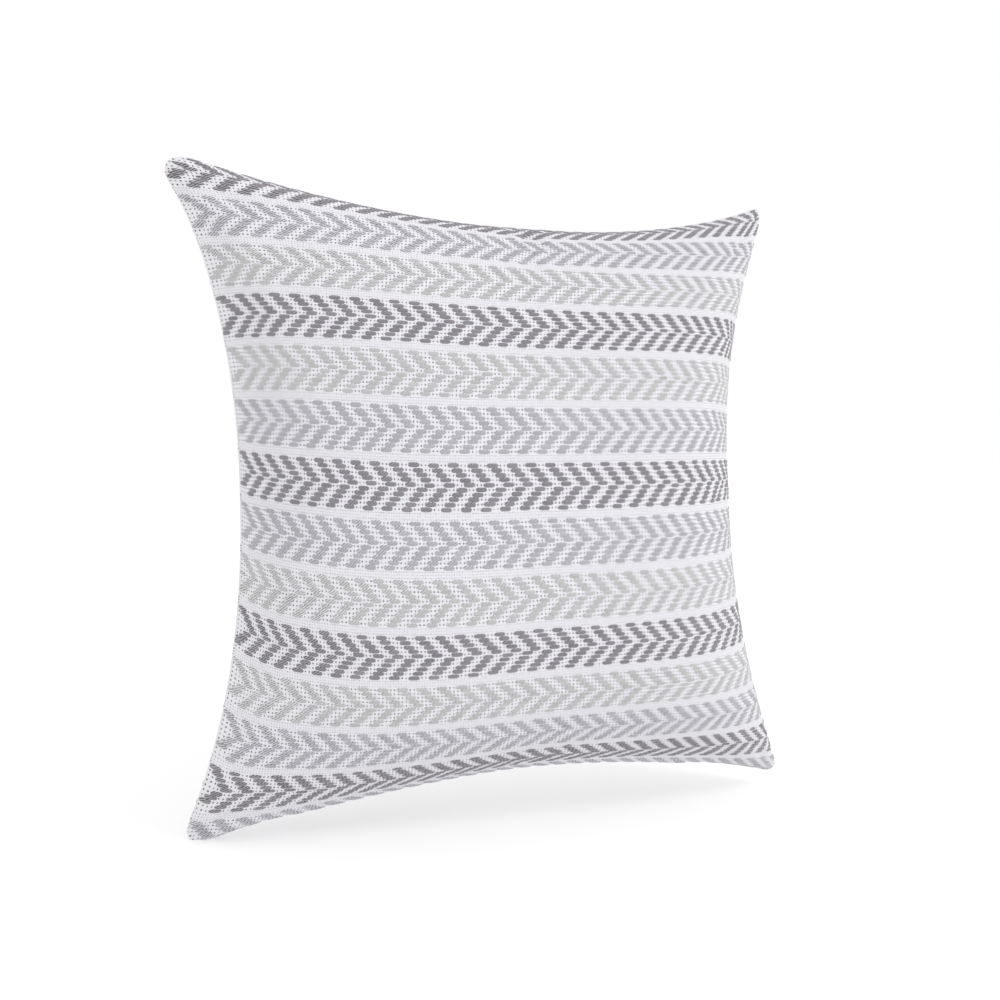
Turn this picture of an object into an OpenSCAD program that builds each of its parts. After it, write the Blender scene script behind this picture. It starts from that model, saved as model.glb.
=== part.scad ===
// Square knife-edge throw pillow: a woven cover with a lapped zip in its bottom seam,
// over a sewn insert filled with fibre. It stands on its two lower ears.
// X is the width, -Y is the front, Z is up. The origin is below the middle, at the ears' tips.

/* [Cover] */
// Width from ear tip to ear tip
cover_width = 454; // [370:1:560]
// Height from ear tip to ear tip
cover_height = 444; // [370:1:560]
// Thickness through the middle of the stuffed cover
cover_depth = 150; // [110:1:220]
// How far the top and bottom seams draw in between two ears
edge_draw = 27; // [20:1:40]
// How far the left and right seams draw in between two ears
side_draw = 38; // [20:1:45]
// How early an edge bends out to its ear
ear_power = 2.2; // [1.8:0.1:3]
// How gradually the cloth swells from its seams, less being fuller
fullness = 0.74; // [0.66:0.01:0.8]
// Share of its full swell at which the middle turns flat, which it lies on
flat_share = 0.9; // [0.86:0.01:0.99]
// Thickness of the woven cloth
cloth_thickness = 1; // [0.8:0.1:1.3]
// Gap between the two panels at the sewn seam
seam_gap = 0.3; // [0.2:0.05:0.5]
// Cloth turned in along the sewn seam
seam_allowance = 12; // [8:1:14]
// Distance of the seam's stitching from its edge
stitch_inset = 4; // [3:0.1:6]
// Thickness of the sewing thread
thread_thickness = 0.4; // [0.3:0.05:0.6]
// Thickness of the overlock thread round the turned-in cloth's raw edge
overlock_thickness = 0.9; // [0.6:0.1:1.1]

/* [Zip] */
// Length of the zip between the ends of its tapes
zip_length = 290; // [200:1:300]
// Height of the back lip above the front one, which hides the pull
lip_lap = 4; // [3.6:0.1:6]
// Height over which a lip turns in from its tip
lip_turn = 2.4; // [1.6:0.1:3]
// Thickness of one coil
coil_thickness = 1.5; // [1.2:0.1:1.8]
// Gap between the two coils
coil_gap = 0.2; // [0.1:0.05:0.3]
// Thickness of the zip tape
tape_thickness = 0.45; // [0.3:0.05:0.6]
// Height of the tape above the slider
tape_height = 5.5; // [4:0.5:8]
// Length of the slider body
slider_length = 10; // [8:0.5:14]
// Wall of the slider body
slider_wall = 0.9; // [0.7:0.1:1.2]
// Clearance between the slider or the pull and what they pass
slider_clearance = 0.4; // [0.3:0.05:0.6]
// Thickness of the lug that carries the pull
lug_thickness = 1; // [0.8:0.1:1.2]
// Diameter of the eye in the lug
lug_eye = 1.8; // [1.6:0.1:2]
// Wall of the lug round its eye
lug_wall = 0.8; // [0.6:0.1:0.9]
// Clearance of the pull's pin in the eye, on each side
pin_clearance = 0.3; // [0.2:0.05:0.4]
// Length of the pull tab from its pin
pull_length = 18; // [12:1:22]
// Thickness of the pull tab
pull_thickness = 1.2; // [0.9:0.1:1.3]
// Width of each arm of the pull tab
pull_arm = 1; // [0.8:0.1:1.1]
// Length of each end stop
stop_length = 3; // [2:0.5:4]

/* [Insert] */
// Clearance between the zip and the insert's seam above it
insert_clearance = 1; // [0.6:0.1:4]
// Thickness of the insert's cloth
insert_cloth = 0.6; // [0.4:0.1:0.8]
// Slack between the cover and the insert in the middle
insert_slack = 0.8; // [0.6:0.1:2]
// Cloth turned in along the insert's seam
insert_allowance = 8; // [6:0.5:10]
// Distance of the insert's stitching from its edge
insert_stitch_inset = 3; // [2.5:0.1:4]
// Length of the slit through which the insert was filled
closing_length = 110; // [80:1:150]
// Slack between the insert's cloth and its fibre
fibre_slack = 0.6; // [0.4:0.1:1.5]

/* [Labels] */
// Width of each blank label along the seam
label_width = 36; // [20:1:50]
// Thickness of a label
label_thickness = 0.3; // [0.2:0.05:0.5]
// Height of the care label's middle above the ears
care_label_height = 160; // [120:1:190]
// Height of the insert label's middle above the ears
insert_label_height = 285; // [250:1:320]

/* [Hidden] */

cloth_grey = "#c9c8cd";
thread_white = "#e9e8ea";
tape_grey = "#d6d5d9";
coil_grey = "#c4c3c8";
metal_grey = "#9a9a9e";
label_white = "#f4f4f2";
ticking_white = "#f1f0ec";
fibre_white = "#fbfbfb";

half_width = cover_width / 2;
half_height = cover_height / 2;
half_depth = cover_depth / 2;
half_gap = seam_gap / 2;
zip_half = zip_length / 2;
// Small gap between pieces that are sewn flat together
sewn_gap = 0.1;
thread_lift = thread_thickness / 2 + sewn_gap / 2;
// Room for the seam's stitching between the turned-in cloth and the panel
stitch_room = thread_thickness + sewn_gap;
// How far the inner face starts inside the edge, in cloth thicknesses
root_share = 1.35;

// The slider's section: a channel round the two coils, open above for the tapes
coil_offset = (coil_thickness + coil_gap) / 2;
channel_half = coil_offset + coil_thickness / 2 + slider_clearance;
channel_height = coil_thickness + 2 * slider_clearance;
slider_half = channel_half + slider_wall;
slider_height = channel_height + 2 * slider_wall;
tape_part = 0.3;
slot_half = tape_part + tape_thickness + slider_clearance;

// The pull swings on a pin in the lug, behind the front lip and below the back one
pin_thickness = lug_eye - 2 * pin_clearance;
pull_half = lug_thickness / 2 + slider_clearance + pull_arm;
knuckle = max(pull_thickness, pin_thickness + 0.2);
lug_radius = lug_eye / 2 + lug_wall;
pull_slot = lug_radius + pull_thickness + slider_clearance;
lip_reach = 0.2;
zip_setback = lip_reach + slider_clearance + pull_half;

// Levels above the ears' tips, from the front lip up
lip_level = edge_draw;
lug_level = lip_level + lip_lap / 2;
coil_level = lip_level + lip_lap + lip_turn + slider_clearance + slider_height / 2;
slider_top = coil_level + slider_height / 2;
bend_level = slider_top + slider_clearance;
wall_half = slider_half + slider_clearance;
tape_top = bend_level + tape_height;
flange_top = tape_top - 1;
zip_stitch_level = bend_level + tape_height / 2;

// Distance of the insert's seam inside the cover's, which clears the tapes and the
// overlocked edge of the turned-in cloth
insert_inset = max(seam_allowance + 3 * overlock_thickness + insert_clearance,
                   (tape_top - lip_level + insert_clearance)
                   * half_height / (half_height - edge_draw));

// The slit runs a little past each end of the zip, and the insert's edge is straight as far
zip_margin = 8;
zip_share = (zip_half + zip_margin) / half_width;
straight_share = (zip_half + zip_margin / 2) / (half_width - insert_inset);
// The slider rests at the closed end and runs back to the open end
end_room = stop_length + 4 + slider_length / 2;
slider_x = zip_half - end_room;

// Shares of the half width and height at which the panels have their grid lines
ear_steps = 6;
middle_steps = 12;
ear_lines = [for (i = [0:ear_steps - 1]) 1 - (1 - zip_share) * pow(i / ear_steps, 1.3)];
middle_lines = [for (i = [0:middle_steps]) zip_share * (1 - 2 * i / middle_steps)];
lines = concat([for (s = ear_lines) -s],
                [for (s = middle_lines) -s],
                [for (i = [ear_steps - 1:-1:0]) ear_lines[i]]);
last = len(lines) - 1;
grid_count = (last + 1) * (last + 1);

// How much of the full draw an edge has at share s of its length
function drawn(s) = 1 - pow(abs(s), ear_power);
// The same for the bottom edge, which the zip keeps straight
function drawn_flat(s) =
    1 - pow(max(0, abs(s) - straight_share) / (1 - straight_share), 1.3);
// 1 along the zip and 0 along the sewn seam
function along_zip(s) = abs(s) < zip_share + 0.001 ? 1 : 0;
// Fading of the zip's offsets from the bottom seam into the panel
function near_bottom(v) = v < 0 ? pow(max(0, 1 - (1 + v) / 0.15), 2) : 0;
// Share of the full depth, from 0 at the seams to 1 in the middle
function swell(u, v) = min(1, pow(max(0, (1 - u * u) * (1 - v * v)), fullness) / flat_share);

// Place across and up of grid share u, v, drawn in by inset all round and raised by lap below
function plan(u, v, inset, lap) =
    let (across = half_width - side_draw * drawn(v),
         up = half_height - edge_draw * (v < 0 ? drawn_flat(u) : drawn(u))
              - (v < 0 ? lap * along_zip(u) : 0))
    [u * across * (1 - inset / half_width), half_height + v * up * (1 - inset / half_height)];

// The points of a layer: side is -1 in front and 1 behind, rim its distance from the middle
// plane at the seam, depth what it swells by, and shift its move to the back along the zip
function layer(side, inset, depth, rim, lap, shift) =
    [for (v = lines) for (u = lines)
        let (p = plan(u, v, inset, lap))
        [p[0], side * (rim + depth * swell(u, v)) + shift * near_bottom(v) * along_zip(u), p[1]]];

// Grid shares round the edge, from the bottom left corner and the front view's anticlockwise way
edge = concat([for (i = [0:last - 1]) [lines[i], -1]],
              [for (i = [0:last - 1]) [1, lines[i]]],
              [for (i = [last:-1:1]) [lines[i], 1]],
              [for (i = [last:-1:1]) [-1, lines[i]]]);
edge_count = len(edge);
// Place of each edge point in a layer's list
edge_index = concat([for (i = [0:last - 1]) i],
                    [for (i = [0:last - 1]) i * (last + 1) + last],
                    [for (i = [last:-1:1]) last * (last + 1) + i],
                    [for (i = [last:-1:1]) i * (last + 1)]);

// A row of the turned-in cloth: its distance from the seam and its plane, or, along the zip,
// the plane and the level in zip_place
function turned_row(inset, y, zip_place) =
    [for (e = edge)
        let (p = plan(e[0], e[1], inset, 0))
        (is_list(zip_place) && e[1] == -1 && along_zip(e[0]) == 1)
            ? [p[0], zip_place[0], zip_place[1]] : [p[0], y, p[1]]];

// Two triangles for each square of a grid that starts at the given point
function grid_faces(start, flip) =
    [for (j = [0:last - 1]) for (i = [0:last - 1])
        let (a = start + j * (last + 1) + i, b = a + 1, c = a + last + 1, d = c + 1)
        for (t = flip ? [[a, b, c], [b, d, c]] : [[a, c, b], [b, c, d]]) t];

// Two triangles for each square between two rows of edge points
function row_faces(first, second, flip) =
    [for (k = [0:edge_count - 1])
        let (n = (k + 1) % edge_count, a = first[k], b = first[n], c = second[k], d = second[n])
        for (t = flip ? [[a, b, c], [b, d, c]] : [[a, c, b], [b, c, d]]) t];

// A sewn panel: its outer cloth, the cloth turned in along the seam, and its inner face.
// Along the zip, lip is the place of its folded tip, wall the plane of the cloth that the
// tape is sewn to, and lap how far it stands above the front lip.
module panel(side, inset, depth, thickness, allowance, lap, lip, wall) {
    root_inset = inset + root_share * thickness;
    turned = side * (half_gap + thickness);
    inner_rim = half_gap + thickness + stitch_room;
    rim = inner_rim + thickness;
    has_zip = is_num(lip);
    wall_out = has_zip ? wall + side * thickness : 0;
    shift = has_zip ? lip - side * half_gap : 0;
    inner_shift = has_zip ? wall_out + side * (sewn_gap - inner_rim) : 0;
    low = lip_level + lap;
    outer = layer(side, inset, depth - rim, rim, lap, shift);
    inner = layer(side, root_inset, depth - rim, inner_rim, lap, inner_shift);
    rows = [turned_row(inset, side * half_gap, has_zip ? [lip, low] : 0),
            turned_row(inset + 2 * thickness, side * half_gap,
                       has_zip ? [wall, low + lip_turn] : 0),
            turned_row(inset + allowance, side * half_gap, has_zip ? [wall, flange_top] : 0),
            turned_row(inset + allowance, turned, has_zip ? [wall_out, flange_top] : 0),
            turned_row(root_inset + 2 * sewn_gap, turned,
                       has_zip ? [wall_out, low + root_share * thickness + 2 * sewn_gap] : 0)];
    first = [for (r = [0:4]) [for (k = [0:edge_count - 1]) 2 * grid_count + r * edge_count + k]];
    rim_in = [for (i = edge_index) i + grid_count];
    flip = side > 0;
    polyhedron(points = concat(outer, inner, rows[0], rows[1], rows[2], rows[3], rows[4]),
               faces = concat(grid_faces(0, flip), grid_faces(grid_count, !flip),
                              row_faces(first[0], edge_index, flip),
                              [for (r = [0:3]) for (t = row_faces(first[r + 1], first[r], flip)) t],
                              row_faces(rim_in, first[4], flip)),
               convexity = 6);
}

// A thread that follows a list of points in an upright plane
module thread_along(path, thickness) {
    sides = 5;
    n = len(path) - 1;
    rings = [for (i = [0:n])
        let (a = path[max(0, i - 1)], b = path[min(n, i + 1)], d = b - a,
             across = [d[2], 0, -d[0]] / norm(d))
        for (k = [0:sides - 1])
            path[i] + thickness / 2 * (cos(k * 360 / sides) * across
                                       + [0, sin(k * 360 / sides), 0])];
    walls = [for (i = [0:n - 1]) for (k = [0:sides - 1])
        let (a = i * sides + k, b = i * sides + (k + 1) % sides)
        for (t = [[a, a + sides, b], [b, a + sides, b + sides]]) t];
    polyhedron(points = rings,
               faces = concat(walls, [[for (k = [0:sides - 1]) k]],
                              [[for (k = [sides - 1:-1:0]) n * sides + k]]),
               convexity = 10);
}

// The sewn part of the seam, from one end of the zip round by the top to the other
sewn_edge = concat([for (e = edge) if (!(e[1] == -1 && e[0] < zip_share + 0.01)) e],
                   [for (e = edge) if (e[1] == -1 && e[0] < -zip_share - 0.01) e]);

function seam_path(inset, y) =
    [for (e = sewn_edge) let (p = plan(e[0], e[1], inset, 0)) [p[0], y, p[1]]];

module cover_front() {
    color(cloth_grey)
    panel(-1, 0, half_depth, cloth_thickness, seam_allowance, 0,
          lip_reach, zip_setback - wall_half);
}

module cover_back() {
    color(cloth_grey)
    panel(1, 0, half_depth, cloth_thickness, seam_allowance, lip_lap,
          zip_setback + lug_thickness / 2 + slider_clearance, zip_setback + wall_half);
}

// The lockstitch's two threads, one on each side of the two turned-in layers
module seam_thread(side) {
    color(thread_white)
    thread_along(seam_path(stitch_inset, side * (half_gap + cloth_thickness + thread_lift)),
                 thread_thickness);
}

module seam_needle_thread() { seam_thread(-1); }
module seam_bobbin_thread() { seam_thread(1); }

// The thread that binds the raw edge of one turned-in layer, between the zip's two ends
module overlock_thread(side) {
    path = seam_path(seam_allowance + 2 * overlock_thickness,
                     side * (half_gap + overlock_thickness / 2));
    color(thread_white)
    thread_along([for (i = [2:len(path) - 3]) path[i]], overlock_thickness);
}

module overlock_thread_front() { overlock_thread(-1); }
module overlock_thread_back() { overlock_thread(1); }

// One zip tape: up out of the slider, then out to the turned-in cloth that it is sewn to
module zip_tape(side) {
    near = tape_part;
    near_out = tape_part + tape_thickness;
    far = wall_half - sewn_gap;
    far_in = far - tape_thickness;
    start = coil_level + coil_thickness / 2 + sewn_gap / 2;
    slant = (far - near) / 2;
    color(tape_grey)
    translate([-zip_half, zip_setback, 0])
    rotate([90, 0, 90])
    linear_extrude(zip_length)
    polygon([[side * near, start], [side * near_out, start],
             [side * near_out, bend_level], [side * far, bend_level + slant],
             [side * far, tape_top], [side * far_in, tape_top],
             [side * far_in, bend_level + slant + tape_thickness / 2],
             [side * near, bend_level + tape_thickness]]);
}

// The coil's nylon turns, as the round rod that they fill, meshed up to the slider
module zip_coil(side) {
    from_x = stop_length + 2 - zip_half;
    color(coil_grey)
    translate([from_x, zip_setback + side * coil_offset, coil_level])
    rotate([0, 90, 0])
    cylinder(d = coil_thickness, h = slider_x - from_x, $fn = 24);
}

module zip_tape_front() { zip_tape(-1); }
module zip_tape_back() { zip_tape(1); }
module zip_coil_front() { zip_coil(-1); }
module zip_coil_back() { zip_coil(1); }

// The slider: a body open above for the tapes, a neck down between the lips and a lug
module zip_slider_body() {
    neck_top = coil_level - channel_height / 2;
    color(metal_grey)
    translate([slider_x, zip_setback, 0])
    difference() {
        union() {
            translate([-slider_length / 2, -slider_half, coil_level - slider_height / 2])
            cube([slider_length, 2 * slider_half, slider_height]);
            translate([-lug_radius, -lug_thickness / 2, lug_level])
            cube([2 * lug_radius, lug_thickness, neck_top - lug_level]);
            translate([0, lug_thickness / 2, lug_level])
            rotate([90, 0, 0])
            cylinder(r = lug_radius, h = lug_thickness, $fn = 32);
        }
        translate([-slider_length, -channel_half, coil_level - channel_height / 2])
        cube([2 * slider_length, 2 * channel_half, channel_height]);
        translate([-slider_length, -slot_half, coil_level])
        cube([2 * slider_length, 2 * slot_half, slider_height]);
        translate([0, lug_thickness, lug_level])
        rotate([90, 0, 0])
        cylinder(d = lug_eye, h = 2 * lug_thickness, $fn = 32);
    }
}

// The pull: a tab with two arms and the pin that hangs in the lug's eye
module zip_pull_tab() {
    low = lug_level - pull_thickness / 2;
    color(metal_grey)
    translate([slider_x, zip_setback, 0]) {
        translate([0, pull_half - pull_arm / 2, lug_level])
        rotate([90, 0, 0])
        cylinder(d = pin_thickness, h = 2 * pull_half - pull_arm, $fn = 32);
        for (y = [-pull_half, pull_half - pull_arm])
            translate([0, y, 0]) {
                translate([-pull_slot - pull_arm, 0, low])
                cube([pull_slot + pull_arm, pull_arm, pull_thickness]);
                translate([0, pull_arm, lug_level])
                rotate([90, 0, 0])
                cylinder(d = knuckle, h = pull_arm, $fn = 32);
            }
        translate([-pull_length, -pull_half, low])
        cube([pull_length - pull_slot, 2 * pull_half, pull_thickness]);
    }
}

module zip_stop(from_x) {
    half = channel_half - slider_clearance;
    color(metal_grey)
    translate([from_x, zip_setback - half, coil_level - coil_thickness / 2])
    cube([stop_length, 2 * half, coil_thickness]);
}

module zip_top_stop() { zip_stop(zip_half - stop_length - 1); }
module zip_bottom_stop() { zip_stop(1 - zip_half); }

// The two threads of the line that sews a tape to the cloth
module zip_stitching(side) {
    inside = wall_half - sewn_gap - tape_thickness - thread_lift;
    outside = wall_half + cloth_thickness + thread_lift;
    color(thread_white)
    for (y = [inside, outside])
        translate([-zip_half, zip_setback + side * y, zip_stitch_level])
        rotate([0, 90, 0])
        cylinder(d = thread_thickness, h = zip_length, $fn = 16);
}

module zip_stitching_front() { zip_stitching(-1); }
module zip_stitching_back() { zip_stitching(1); }

// A blank label sewn in at the left edge, lying between the cover and the insert
module label(side, height) {
    v = (height - half_height) / half_height;
    across = half_width - side_draw * drawn(v);
    depth = half_depth - cloth_thickness;
    start = stitch_inset + thread_thickness + 2;
    steps = 5;
    route = [for (i = [0:steps])
        let (in = start + i * 5, u = 1 - in / across, w = 1 - (in - insert_inset / 2) / across,
             lift = half_gap + cloth_thickness + stitch_room)
        [in, i == 0 ? lift : lift + depth * (swell(u, v) + swell(w, v) / 3) / 2]];
    outer = [for (p = route) [p[0] - across, side * (p[1] + label_thickness)]];
    inner = [for (i = [steps:-1:0]) [route[i][0] - across, side * route[i][1]]];
    color(label_white)
    translate([0, 0, height - label_width / 2])
    linear_extrude(label_width)
    polygon(concat(outer, inner));
}

module care_label() { label(1, care_label_height); }
module insert_label() { label(-1, insert_label_height); }

insert_depth = half_depth - cloth_thickness - insert_slack;

module insert_panel(side) {
    color(ticking_white)
    panel(side, insert_inset, insert_depth, insert_cloth, insert_allowance, 0, undef, undef);
}

module insert_front() { insert_panel(-1); }
module insert_back() { insert_panel(1); }

// The insert's seam goes all the way round
module insert_thread(side) {
    y = side * (half_gap + insert_cloth + thread_lift);
    path = [for (e = edge)
        let (p = plan(e[0], e[1], insert_inset + insert_stitch_inset, 0)) [p[0], y, p[1]]];
    color(thread_white)
    thread_along(path, thread_thickness);
}

module insert_needle_thread() { insert_thread(-1); }
module insert_bobbin_thread() { insert_thread(1); }

// The line of stitches that shuts the slit in the insert's right edge, on the edge itself
module insert_closing_stitch() {
    reach = closing_length / 2 / half_height;
    rows = 12;
    path = [for (i = [0:rows])
        let (p = plan(1, reach * (2 * i / rows - 1), insert_inset - thread_thickness, 0))
        [p[0], 0, p[1]]];
    color(thread_white)
    thread_along(path, thread_thickness);
}

// The fibre, as one soft mass that fills the insert
module fibre_fill() {
    inset = insert_inset + insert_allowance + 2 * insert_cloth;
    depth = insert_depth - insert_cloth - fibre_slack;
    front = layer(-1, inset, depth - half_gap, half_gap, 0, 0);
    back = layer(1, inset, depth - half_gap, half_gap, 0, 0);
    color(fibre_white)
    polyhedron(points = concat(front, back),
               faces = concat(grid_faces(0, false), grid_faces(grid_count, true),
                              row_faces([for (i = edge_index) i + grid_count], edge_index, false)),
               convexity = 4);
}

cover_front();
cover_back();
seam_needle_thread();
seam_bobbin_thread();
overlock_thread_front();
overlock_thread_back();
zip_tape_front();
zip_tape_back();
zip_coil_front();
zip_coil_back();
zip_slider_body();
zip_pull_tab();
zip_top_stop();
zip_bottom_stop();
zip_stitching_front();
zip_stitching_back();
care_label();
insert_front();
insert_back();
insert_needle_thread();
insert_bobbin_thread();
insert_closing_stitch();
insert_label();
fibre_fill();
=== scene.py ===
import bpy
import numpy as np
from mathutils import Matrix, Vector


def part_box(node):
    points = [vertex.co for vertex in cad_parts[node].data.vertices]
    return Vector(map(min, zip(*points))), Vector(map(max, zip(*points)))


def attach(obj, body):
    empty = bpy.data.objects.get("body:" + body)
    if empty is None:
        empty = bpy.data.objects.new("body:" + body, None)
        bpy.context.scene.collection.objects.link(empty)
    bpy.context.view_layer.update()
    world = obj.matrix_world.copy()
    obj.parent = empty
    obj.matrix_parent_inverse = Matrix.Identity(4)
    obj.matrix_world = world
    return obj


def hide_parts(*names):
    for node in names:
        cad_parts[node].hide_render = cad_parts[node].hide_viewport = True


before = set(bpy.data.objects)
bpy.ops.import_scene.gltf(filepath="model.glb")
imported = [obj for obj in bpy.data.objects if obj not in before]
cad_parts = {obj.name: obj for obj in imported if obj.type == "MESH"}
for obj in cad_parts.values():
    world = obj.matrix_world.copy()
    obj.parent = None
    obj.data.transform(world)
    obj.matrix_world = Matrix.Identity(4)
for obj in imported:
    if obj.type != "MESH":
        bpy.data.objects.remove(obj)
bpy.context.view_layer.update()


# ---- The stuffed shape -------------------------------------------------------------------
# A square cover, 457 mm laid flat, sewn round a filled insert. The filling swells it, the
# four seams draw in and the corners stay out as ears, the upper two leaning a little aside.

FLAT = 0.457
CELLS = 96
# Radius at which the cover is rounded at its lower left, lower right and upper corners,
# as shares of half its width
CORNERS = [0.0745, 0.0645, 0.103, 0.079]

share = np.linspace(-1, 1, CELLS + 1)
U, V = np.meshgrid(share, share)


def drawn(t, draw, power, skew):
    """How far a seam draws in at share t of its length: the whole draw in the middle, less
    |t| to the power, and more towards one end by skew."""
    return draw * (1 - np.abs(t) ** power) * (1 + skew * t)


def corner_cut(u, v):
    """How far the cloth reaches in the direction of u, v, as a share of the full square: 1
    but in the corners, where it is the distance at which the ray meets a quarter circle."""
    wide = np.maximum(np.maximum(np.abs(u), np.abs(v)), 1e-9)
    slope = np.minimum(np.abs(u), np.abs(v)) / wide
    radius = np.choose(2 * (v > 0) + (u > 0), CORNERS)
    middle = (1 - radius) * (1 + slope)
    root = middle ** 2 - (1 + slope ** 2) * (2 * (1 - radius) ** 2 - radius ** 2)
    reach = (middle + np.sqrt(np.maximum(root, 0))) / (1 + slope ** 2)
    return np.where(slope > 1 - radius, reach, 1.0)


def cloth_share(u, v):
    """Place on the flat cloth of grid share u, v: squares round the middle turn into
    squares with rounded corners towards the edge, by the sixth power of their size."""
    pull = 1 + (corner_cut(u, v) - 1) * np.maximum(np.abs(u), np.abs(v)) ** 6
    return u * pull, v * pull


def grid_share(u, v):
    """The other way, from a place on the flat cloth, by repeating the division."""
    cut, size, grow = corner_cut(u, v), np.maximum(np.abs(u), np.abs(v)), 1.0
    for _ in range(8):
        grow = 1 / (1 + (cut - 1) * (grow * size) ** 6)
    return u * grow, v * grow


def bunched(u, v):
    """Cloth share as it is gathered: crowded towards the seams by a cubic."""
    return (u + (0.208 - 0.382 * v ** 2 + 0.154 * v ** 4) * (u - u ** 3),
            v + (0.281 * (1 - u ** 2) + 0.023 * u ** 2) * (v - v ** 3))


def stuffed(u, v):
    """Point of the front panel for grid share u across and v up, from -1 to 1. Each seam
    draws in, and the thickness is the product of one falling power across and one up,
    with a little more of it below. Each ear is moved by a high power of its nearness."""
    gx, gz = bunched(u, v)
    u, v = cloth_share(u, v)
    tx, tz = bunched(u, v)
    left = -0.222 + drawn(tz, 0.0278, 2.48, -0.132)
    right = 0.222 - drawn(tz, 0.0537, 2.39, 0.293)
    low = -0.222 + drawn(tx, 0.0224, 1.65, 0.441)
    high = 0.222 - drawn(tx, 0.0327, 1.94, -0.029)
    x = left + (right - left) * (tx + 1) / 2
    z = low + (high - low) * (tz + 1) / 2
    fall = np.clip(1 - np.abs(gx) ** 3.84, 0, 1) * np.clip(1 - np.abs(gz) ** 3.84, 0, 1)
    y = -0.0729 * fall ** 0.6 * (1 - 0.19 * tz + 0.031 * tx)
    for side, end, across, up, power in (
            (-1, 1, -0.0301, -0.0047, 4.59), (-1, -1, -0.0074, -0.0195, 6.94),
            (1, 1, -0.0250, -0.0010, 6.85), (1, -1, 0.0115, -0.0018, 3.55)):
        near = ((1 + side * u) / 2 * (1 + end * v) / 2) ** power
        x, z = x + near * across, z + near * up
    return np.stack([x + 0.007, y, z + 0.234], -1)


def made(name, points, faces, smooth=True):
    """A mesh object of these points and faces, at the origin."""
    mesh = bpy.data.meshes.new(name)
    mesh.from_pydata(points.reshape(-1, 3).tolist(), [], faces.tolist())
    mesh.polygons.foreach_set("use_smooth", [smooth] * len(mesh.polygons))
    mesh.update()
    obj = bpy.data.objects.new(name, mesh)
    bpy.context.scene.collection.objects.link(obj)
    return obj


def squares(across, up, flip=False, around=False):
    """Faces of a grid that is across points wide and up points high, closed round if asked."""
    i, j = np.meshgrid(np.arange(across if around else across - 1), np.arange(up - 1))
    a, b = j * across + i, j * across + (i + 1) % across
    ring = [a, b, b + across, a + across]
    return np.stack(ring[::-1] if flip else ring, -1).reshape(-1, 4)


front = stuffed(U, V)
back = front * (1, -1, 1)


# ---- The cloth's puckers -----------------------------------------------------------------
# The seams are shorter than the cloth that is sewn into them, so the panels pucker along
# them. Cloth cut flat is let go on the stuffed shape, and what it wrinkles is kept.

PUCKER = 0.007
# The simulation runs a few steps only, so its wrinkles are strengthened
PUCKER_GAIN = 1.8
SETTLE_STEPS = 10


def smoothed(grid, times):
    """The grid's values, each averaged with its neighbours over and over."""
    for _ in range(times):
        for axis in (0, 1):
            wide = np.concatenate([grid.take([0], axis), grid, grid.take([-1], axis)], axis)
            n = grid.shape[axis]
            grid = (wide.take(range(n), axis) + 2 * grid
                    + wide.take(range(2, n + 2), axis)) / 4
    return grid


size = CELLS + 1
number = np.arange(size * size).reshape(size, size)
rim = np.zeros((size, size), bool)
rim[[0, -1]] = rim[:, [0, -1]] = True
behind = number.copy()
behind[~rim] = size * size + np.arange((~rim).sum())
start = np.concatenate([front.reshape(-1, 3), back[~rim]])
CU, CV = cloth_share(U, V)
flat = np.stack([CU * FLAT / 2, 0 * U, CV * FLAT / 2], -1)
laid = np.concatenate([flat.reshape(-1, 3) - (0, 0.001, 0), flat[~rim] + (0, 0.001, 0)])
quads = squares(size, size)
shell = made("letting_go", start, np.concatenate([quads, behind.reshape(-1)[quads[:, ::-1]]]))
shell.shape_key_add(name="stuffed")
key = shell.shape_key_add(name="flat")
key.data.foreach_set("co", laid.ravel())
cloth = shell.modifiers.new("cloth", "CLOTH")
cloth.settings.rest_shape_key = key
cloth.settings.quality = 5
cloth.settings.mass = 0.3
cloth.settings.tension_stiffness = cloth.settings.compression_stiffness = 40
cloth.settings.shear_stiffness = 10
cloth.settings.bending_stiffness = 0.6
cloth.settings.use_pressure = True
cloth.settings.uniform_pressure_force = 3
cloth.settings.effector_weights.gravity = 0
cloth.settings.air_damping = 4
cloth.point_cache.frame_end = SETTLE_STEPS
for moment in range(1, SETTLE_STEPS + 1):
    bpy.context.scene.frame_set(moment)
posed = shell.evaluated_get(bpy.context.evaluated_depsgraph_get()).to_mesh()
end = np.empty(len(start) * 3)
posed.vertices.foreach_get("co", end)
moved = end.reshape(-1, 3) - start
bpy.context.scene.frame_set(1)
bpy.data.objects.remove(shell)
# The zip keeps its own stretch of the lower seam straight
beside_zip = np.clip((0.165 - np.abs(front[..., 0])) / 0.015, 0, 1)
held = beside_zip * np.clip(1 - (V + 1) / 0.16, 0, 1)
for panel, order in ((front, number), (back, behind)):
    step = moved[order]
    step = PUCKER_GAIN * (step - smoothed(step, 60))
    far = np.linalg.norm(step, axis=-1, keepdims=True) + 1e-9
    panel += (1 - held[..., None]) * step * PUCKER * np.tanh(far / PUCKER) / far
seam = (front + back) / 2
front[rim] = back[rim] = seam[rim]


# ---- Cover panels ------------------------------------------------------------------------
# Two cotton panels about 1 mm thick, plain-woven in white, sewn together inside out and
# turned, so that each rolls over into the seam. The lower seam holds a lapped zip.

RIM = 0.0014
ZIP_HALF = 0.145
# Along the zip the back panel stands further out, and the lips part up and down
BACK_LIP_OUT = 0.0054
LIP_UP = {-1: -0.0015, 1: 0.0025}
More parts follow.
